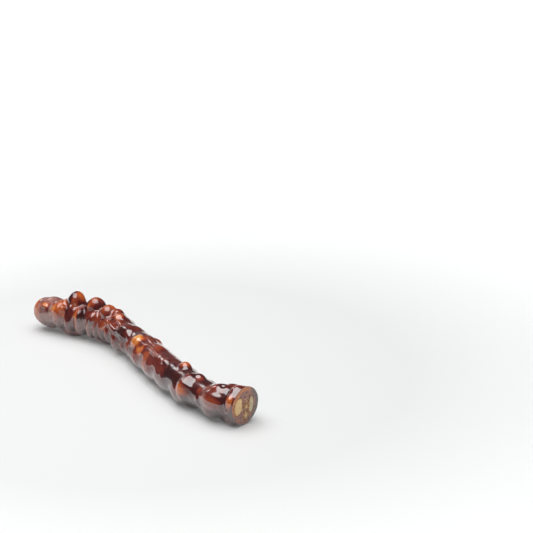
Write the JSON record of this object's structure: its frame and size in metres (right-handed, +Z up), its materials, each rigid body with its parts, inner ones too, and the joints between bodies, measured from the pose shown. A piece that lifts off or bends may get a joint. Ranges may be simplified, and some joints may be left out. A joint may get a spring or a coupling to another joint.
{
  "type": "walnut and grape jelly sweet stick",
  "caption": "Bent knobby stick of walnut kernels in dark glossy grape jelly, lying on its side, cut through at one end to show the kernels.",
  "frame": {"origin": "on the table under the middle of the stick's bounding box", "axes": "+X from the rounded end to the cut end, +Y to the far side, +Z up from the table"},
  "size_m": [0.2084, 0.045, 0.0285],
  "materials": {
    "grape_jelly": "set grape must jelly, very glossy and slightly see-through, dark garnet where it is thick and amber where a kernel lies close under it; matte and greyish mauve on the cut",
    "walnut_kernel": "cut walnut kernel, matte pale cream flesh with a thin brown skin at its edge"
  },
  "bodies": {
    "root": {"jelly_coat": "grape_jelly", "walnut_row_near": "walnut_kernel", "walnut_row_far": "walnut_kernel", "walnut_chip_low": "walnut_kernel", "walnut_chip_high": "walnut_kernel"}
  },
  "joints": []
}
